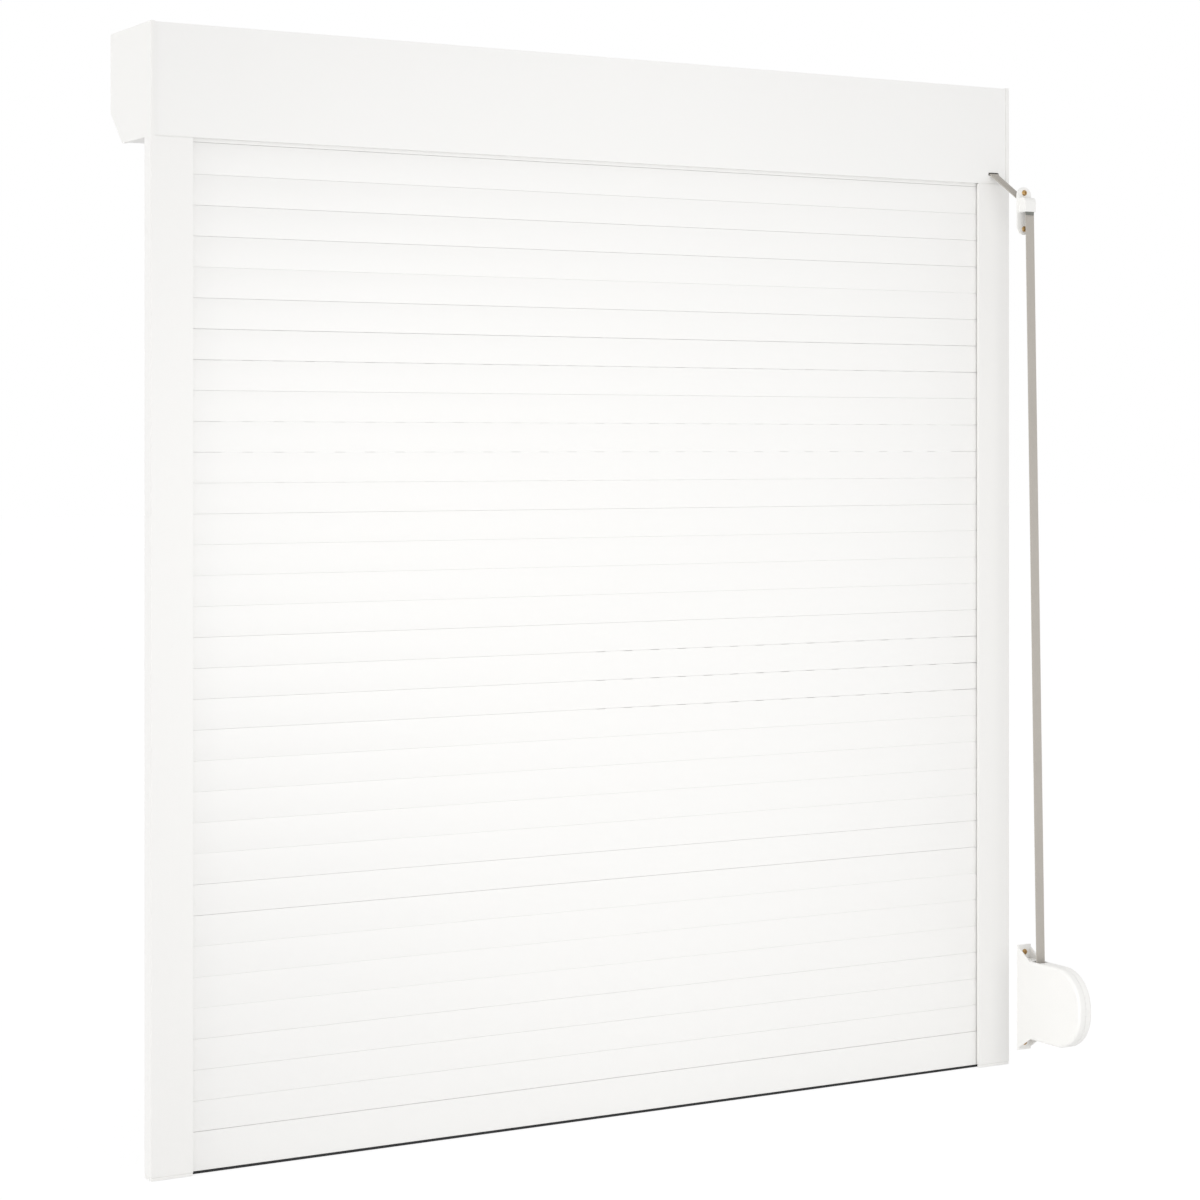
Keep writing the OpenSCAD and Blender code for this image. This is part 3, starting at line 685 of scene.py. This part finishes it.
barSet = {
    "half": slatSet["half"],
    "columns": [-4.0, -3.1, -2.5, -1.5, 1.5, 2.5, 3.1, 4.0],  # section lines across the bar
    "rows": [3.5, 4.0, 5.4, 7.9, 11.8, 29.5, 30.9, 48.6, 50.0],
    "open": {0: 3.1, 1: 1.5, 2: 2.5, 4: 2.5, 6: 2.5},  # row and half width of each opening
    "edge": 0.35,
    "stopX": 450.0,
    "stop": (30.0, 20.2, 20.0),  # width, depth, height
    "stopPlace": (13.9, 28.0),  # depth and height of its middle
    "stopEdge": 1.6,
}


# hollow section of the bar: a sheet of cells, opened for chambers and seal, then pulled long
def barBody(look):
    bm = bmesh.new()
    columns, rows = look["columns"], look["rows"]
    vert = bm.verts.new((-look["half"] * mm, columns[0] * mm, rows[0] * mm))
    drawLine(bm, vert, [(column, rows[0]) for column in columns[1:]])
    line, opened = bm.edges[:], []
    for row, (here, there) in enumerate(zip(rows, rows[1:])):
        line, cells = growRow(bm, line, (0, 0, (there - here) * mm))[1:]
        half = look["open"].get(row, 0.0) * mm
        opened += [cell for cell in cells if abs(cell.calc_center_median().y) < half]
    bmesh.ops.delete(bm, geom=opened, context="FACES")
    pulled = bmesh.ops.extrude_face_region(bm, geom=bm.faces[:], use_keep_orig=True)
    pushVerts(bm, pulled["geom"], (2 * look["half"] * mm, 0, 0))
    bmesh.ops.recalc_face_normals(bm, faces=bm.faces[:])
    corners = {(y, z) for y in (columns[0], columns[-1]) for z in (rows[0], rows[-1])}
    outer = []
    for edge in bm.edges:
        spots = {(round(vert.co.y / mm, 2), round(vert.co.z / mm, 2)) for vert in edge.verts}
        if len(spots) == 1 and spots <= corners:
            outer.append(edge)
    roundEdges(bm, outer, look["edge"])
    return bm


def barStops(look):
    bm = bmesh.new()
    for side in (-1, 1):
        addBlock(bm, (side * look["stopX"], *look["stopPlace"]), look["stop"])
    far = max(vert.co.y for vert in bm.verts)
    outer = [edge for edge in bm.edges if any(vert.co.y > far - mm for vert in edge.verts)]
    roundEdges(bm, outer, look["stopEdge"])
    return bm


# the bar's hook gathers with the first slats, so it is a piece of its own
def barHook(look):
    bm = hookMesh(look)
    bmesh.ops.recalc_face_normals(bm, faces=bm.faces[:])
    low = look["first"] - look["height"]
    bmesh.ops.translate(bm, verts=bm.verts[:], vec=(0, 0, low * mm))
    return bm


def makeBar(look, slatLook):
    body, metal, bar = "bottom_rail", "white_aluminium", ["bottom_bar"]
    addPiece("bottom_bar_skin", barBody(look), coatedSheet, body, bar)
    addPiece("bottom_bar_stops", barStops(look), mouldedWhite, body, bar)
    hook = addPiece("bottom_bar_hook", barHook(slatLook), coatedSheet, body, bar)
    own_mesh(hook)


makeBar(barSet, slatSet)
print("bottom bar made")


railSet = {
    "inner": 587.0,
    "outer": 640.0,
    "half": 11.0,  # half of the rail's depth
    "wall": 1.6,
    "top": 1239.0,
    "strip": 0.8,  # sealing strip between the rail's top and the box
    "gap": 0.1,
    "holes": [120.0, 455.0, 790.0, 1125.0],
    "plug": (2.9, 3.4, 1.4),  # radius, radius and depth of the barb behind the wall
    "plugSunk": 0.05,  # from the rail's face to the plug's
    "plugEdge": 0.15,
    "plugSides": 24,
}


# sealing strips on the top edges of both rails
def railStrips(look):
    bm = bmesh.new()
    wall, half, clear = look["wall"], look["half"], 2 * look["gap"]
    wide, length = wall - clear, look["outer"] - look["inner"] - clear
    middle, depth = (look["inner"] + look["outer"]) / 2, half - wall / 2
    high = look["top"] + look["gap"] + look["strip"] / 2
    for side in (-1, 1):
        for place in (-depth, depth):
            addBlock(bm, (side * middle, place, high), (length, wide, look["strip"]))
        across = (wide, 2 * (half - wall) - clear, look["strip"])
        addBlock(bm, (side * (look["outer"] - wall / 2), 0.0, high), across)
    return bm


# flush blanking plugs in the fixing holes
def railPlugs(look):
    bm = bmesh.new()
    shank, barb, deep = look["plug"]
    gap, wallIn = look["gap"], look["outer"] - look["wall"]
    rods = [
        (shank, wallIn - 2 * gap, look["outer"] - look["plugSunk"]),
        (barb, wallIn - gap - deep, wallIn - gap),
    ]
    turn = Matrix.Rotation(math.pi / 2, 4, "Y")  # a plug's axis lies along the width
    for side in (-1, 1):
        for high in look["holes"]:
            for radius, near, far in rods:
                spot = Matrix.Translation(Vector((side * (near + far) / 2, 0, high)) * mm) @ turn
                made = addRod(bm, radius, far - near, spot, look["plugSides"])
                rims = []
                for edge in {edge for vert in made for edge in vert.link_edges}:
                    reach = abs(edge.verts[0].co.x - edge.verts[1].co.x)
                    if reach < gap * mm:
                        rims.append(edge)
                roundEdges(bm, rims, look["plugEdge"])
    bmesh.ops.recalc_face_normals(bm, faces=bm.faces[:])
    return bm


addPiece("rail_top_strips", railStrips(railSet), mouldedWhite, "housing", [])
addPiece("rail_hole_plugs", railPlugs(railSet), coatedRail, "housing", [])
print("rail strips and plugs made")


# the dark band under the guide's hood is painted shade, made as a dark brush
mouthShadeSet = {
    "middle": 612.4,
    "front": -92.4,
    "mouth": 1194.95,  # just under the hood's edge
    "holder": (13.8, 1.3, 1.2),
    "tuft": (0.7, 0.9, 3.4),
    "tufts": 18,
}


# dark brush in the mouth of the strap guide, a holder and a row of tufts: it paints the shade
# under the hood as a dark band on the strap
def mouthShadeBrush(look):
    bm = bmesh.new()
    wide, deep, high = look["holder"]
    middle, back = look["middle"], look["front"] + deep / 2
    addBlock(bm, (middle, back, look["mouth"] - high / 2), look["holder"])
    step = wide / look["tufts"]
    tuftHigh = look["mouth"] - high - look["tuft"][2] / 2
    for tuft in range(look["tufts"]):
        across = middle - wide / 2 + (tuft + 0.5) * step
        addBlock(bm, (across, back, tuftHigh), look["tuft"])
    return bm


addPiece("guide_mouth_shade", mouthShadeBrush(mouthShadeSet), mouthShadeFibre, "housing", [])
print("guide brush made")


strapSet = {
    "middle": 613.5,
    "wide": 14.0,
    "thick": 1.3,
    "gap": 0.3,
    "pulley": (57.5, 1311.5, 40.0),  # depth, height and radius, here of the winding
    "slot": (-9.4, 1253.6),
    "roller": (-84.1, 1199.0, 5.0),
    "spool": (-156.0, 108.5, 40.0),
    "columns": 6,
    "lapSteps": 12,
    "hangSteps": 24,
    "rollGap": 0.1,  # between the turns of a roll
    "rollSteps": 28,  # in each turn
}


def bearing(way):
    return math.atan2(way.y, way.x)


def unitAt(angle):
    return Vector((math.cos(angle), math.sin(angle)))


# the strap's middle line from the pulley to the winder, as depths and heights in millimetres
def strapLine(look):
    off = look["gap"] + look["thick"] / 2
    pulley, slot = Vector(look["pulley"][:2]), Vector(look["slot"])
    roller, spool = Vector(look["roller"][:2]), Vector(look["spool"][:2])
    rPulley, rRoller, rSpool = (look[key][2] + off for key in ("pulley", "roller", "spool"))
    way = pulley - slot
    rise = bearing(way) - math.asin(rPulley / way.length)
    first = slot + unitAt(rise) * math.sqrt(way.length**2 - rPulley**2)
    way = roller - slot
    slope = bearing(way) - math.asin(rRoller / way.length)
    way = spool - roller
    drop = bearing(way) + math.asin((rRoller + rSpool) / way.length)
    fall = math.sqrt(way.length**2 - (rRoller + rSpool) ** 2)
    steps = look["lapSteps"]
    turns = [slope - math.pi / 2 + (drop - slope) * k / steps for k in range(steps + 1)]
    lap = [roller + rRoller * unitAt(turn) for turn in turns]
    last = lap[-1] + unitAt(drop) * fall
    steps = look["hangSteps"]
    hang = [lap[-1].lerp(last, k / steps) for k in range(1, steps + 1)]
    return [first, slot] + lap + hang


# a band of webbing on both sides of a line, with its map in millimetres
def bandMesh(line, look):
    bm = bmesh.new()
    left = look["middle"] - look["wide"] / 2
    vert = bm.verts.new((left * mm, line[0].x * mm, line[0].y * mm))
    for column in range(look["columns"]):
        vert = bmesh.ops.extrude_vert_indiv(bm, verts=[vert])["verts"][0]
        vert.co.x += look["wide"] / look["columns"] * mm
    row, run = bm.edges[:], 0.0
    runOf = {vert: run for vert in bm.verts}
    for here, there in zip(line, line[1:]):
        move = (0, (there.x - here.x) * mm, (there.y - here.y) * mm)
        moved, row = growRow(bm, row, move)[:2]
        run += (there - here).length
        runOf.update({vert: run for vert in moved})
    strip = bm.faces[:]
    bmesh.ops.recalc_face_normals(bm, faces=strip)
    mapLayer = bm.loops.layers.uv.new("strapMap")
    for face in strip:
        for loop in face.loops:
            loop[mapLayer].uv = (loop.vert.co.x / mm - look["middle"], runOf[loop.vert])
    bm.normal_update()
    for vert in bm.verts:
        vert.co += vert.normal * look["thick"] / 2 * mm  # the wall then grows back across the line
    bmesh.ops.solidify(bm, geom=strip, thickness=look["thick"] * mm)
    bmesh.ops.recalc_face_normals(bm, faces=bm.faces[:])
    return bm


# a roll of webbing wound round an axis, from its core out to the winding's radius
def rollLine(winding, core, look):
    thick, gap = look["thick"], look["rollGap"]
    y, z, outer = winding
    turns = (outer - core) / (thick + gap) - 1
    steps = int(turns * look["rollSteps"])
    points = []
    for k in range(steps + 1):
        radius = core + thick / 2 + gap + (outer - core - thick - 2 * gap) * k / steps
        angle = 2 * math.pi * turns * k / steps
        points.append(Vector((y + radius * math.cos(angle), z + radius * math.sin(angle))))
    return points


strapBand = bandMesh(strapLine(strapSet), strapSet)
addPiece("strap_webbing", strapBand, strapWebbing, "housing", ["strap_run"])
rollSet = {
    "pulley_strap_roll": ("pulley", 33.0, "winding_shaft", "pulley_strap_coil"),
    "winder_strap_roll": ("spool", 25.0, "winder_reel", "winder_strap_coil"),
}
for name, (drum, core, body, node) in rollSet.items():
    roll = bandMesh(rollLine(strapSet[drum], core, strapSet), strapSet)
    addPiece(name, roll, strapWebbing, body, [node])
print("strap made")


screwSet = {
    "middle": strapSet["middle"],
    "wall": -76.0,
    "places": [(1172.0, 2.5), (1222.0, 2.5), (46.0, 3.0), (171.0, 3.0)],  # height, plate thickness
    "head": 4.0,
    "headHigh": 2.4,
    "dome": [(0.98, 0.25), (0.9, 0.55), (0.72, 0.85), (0.5, 1.0)],  # shares of radius and height
    "cross": (0.45, 1.1),  # half width and depth
    "shank": 2.0,
    "behind": 10.0,
    "sides": (24, 20),  # head and shank
}


# sinks a cross into a flat round face on top of a screw
def cutCross(bm, faces, middle, half, deep):
    for way in (Vector((1, 0, 0)), Vector((0, 0, 1))):
        for side in (-half, half):
            parts = set(faces)
            for face in faces:
                parts |= set(face.edges) | set(face.verts)
            place = middle + way * side
            split = bmesh.ops.bisect_plane(bm, geom=list(parts), plane_co=place, plane_no=way)
            faces = only(split["geom"], bmesh.types.BMFace)
    spots = [face.calc_center_median() - middle for face in faces]
    cross = [face for face, spot in zip(faces, spots) if min(abs(spot.x), abs(spot.z)) < half]
    sunk = bmesh.ops.extrude_face_region(bm, geom=cross)["geom"]
    pushVerts(bm, sunk, (0, deep, 0))
    bmesh.ops.delete(bm, geom=[face for face in cross if face.is_valid], context="FACES")


def screwMesh(look):
    bm = bmesh.new()
    turn = Matrix.Rotation(math.pi / 2, 4, "X")  # a screw's axis lies along the depth
    headSides, shankSides = look["sides"]
    crossHalf, crossDeep = look["cross"]
    for high, plate in look["places"]:
        seat = Vector((look["middle"], look["wall"] - plate, high)) * mm
        ring = bmesh.ops.create_circle(
            bm,
            segments=headSides,
            radius=look["head"] * mm,
            matrix=Matrix.Translation(seat) @ turn,
        )
        row = list({edge for vert in ring["verts"] for edge in vert.link_edges})
        bmesh.ops.contextual_create(bm, geom=row)  # underside of the head
        axis = Matrix.Translation((-seat.x, 0, -seat.z))
        lastShare, lastRise = 1.0, 0.0
        for share, rise in look["dome"]:
            move = (0, -(rise - lastRise) * look["headHigh"] * mm, 0)
            verts, row = growRow(bm, row, move)[:2]
            pull = share / lastShare
            bmesh.ops.scale(bm, verts=verts, vec=(pull, 1, pull), space=axis)
            lastShare, lastRise = share, rise
        top = bmesh.ops.contextual_create(bm, geom=row)["faces"]
        cutCross(bm, top, seat, crossHalf * mm, crossDeep * mm)
        length = plate + look["behind"]
        rod = Matrix.Translation(seat + Vector((0, length / 2 * mm, 0))) @ turn
        addRod(bm, look["shank"], length, rod, shankSides)
    bmesh.ops.recalc_face_normals(bm, faces=bm.faces[:])
    return bm


addPiece("brass_screws", screwMesh(screwSet), screwBrass, "housing", ["mounting_screws"])
print("screws made")


# floor and light: soft and pale, with a white ground for whatever looks at it directly
plainWhite = (1.0, 1.0, 1.0, 1.0)
lightSet = {
    "world": 0.76,
    "key": ((0.07, -1.5, 0.8), 1.0, 6.2),  # place, size, power
    "fill": ((-3.2, -3.0, 0.9), 2.4, 1.5),
    "side": ((-9.0, -0.9, 0.5), 4.0, 262.0),
    "aim": (0.0, 0.0, 0.6),
}
floorSet = {"size": 30.0, "drop": 0.0005, "glow": 0.82, "shadow": 0.24, "bounce": 0.92}


def seenDirectly(sheet):
    path = sheet.tree.nodes.new("ShaderNodeLightPath")
    rays = ("Is Camera Ray", "Is Glossy Ray", "Is Transmission Ray")
    direct, glossy, through = (Shade(sheet.tree, path.outputs[ray]) for ray in rays)
    return sheet.math("MINIMUM", direct + glossy + through, 1.0)


def makeWorld(look):
    world = bpy.data.worlds.new("studio")
    bpy.context.scene.world = world
    world.use_nodes = True
    tree = world.node_tree
    tree.nodes.clear()
    sheet = Shade(tree, None)
    strength = seenDirectly(sheet) * (1.0 - look["world"]) + look["world"]
    glow = sheet.node("ShaderNodeBackground", None, {"Color": plainWhite, "Strength": strength})
    made = tree.nodes.new("ShaderNodeOutputWorld")
    tree.links.new(glow.socket, made.inputs["Surface"])


def makeFloor(look):
    material, sheet = newMaterial("paleFloor")
    ground = sheet.node("ShaderNodeBsdfDiffuse", None, {"Color": rgba((look["bounce"],) * 3)})
    faint = sheet.node("ShaderNodeBsdfDiffuse", None, {"Color": rgba((look["shadow"],) * 3)})
    glow = {"Color": plainWhite, "Strength": look["glow"]}
    shown = sheet.node(
        "ShaderNodeAddShader", None, {0: faint, 1: sheet.node("ShaderNodeEmission", None, glow)}
    )
    seen = {0: seenDirectly(sheet), 1: ground, 2: shown}
    closeMaterial(sheet, sheet.node("ShaderNodeMixShader", None, seen))
    bm = bmesh.new()
    bmesh.ops.create_grid(bm, x_segments=1, y_segments=1, size=look["size"])
    mesh = bpy.data.meshes.new("floor")
    bm.to_mesh(mesh)
    bm.free()
    mesh.materials.append(material)
    floor = bpy.data.objects.new("floor", mesh)
    floor.location = (0, 0, -look["drop"])
    bpy.context.scene.collection.objects.link(floor)


def addLamp(name, place, size, power, aim):
    lamp = bpy.data.lights.new(name, "AREA")
    lamp.shape = "DISK"
    lamp.size = size
    lamp.energy = power
    made = bpy.data.objects.new(name, lamp)
    made.location = place
    made.visible_camera = False
    made.rotation_euler = (Vector(aim) - Vector(place)).to_track_quat("-Z", "Y").to_euler()
    bpy.context.scene.collection.objects.link(made)


makeWorld(lightSet)
makeFloor(floorSet)
for name in ("key", "fill", "side"):
    addLamp(name, *lightSet[name], lightSet["aim"])
print("light and floor set")
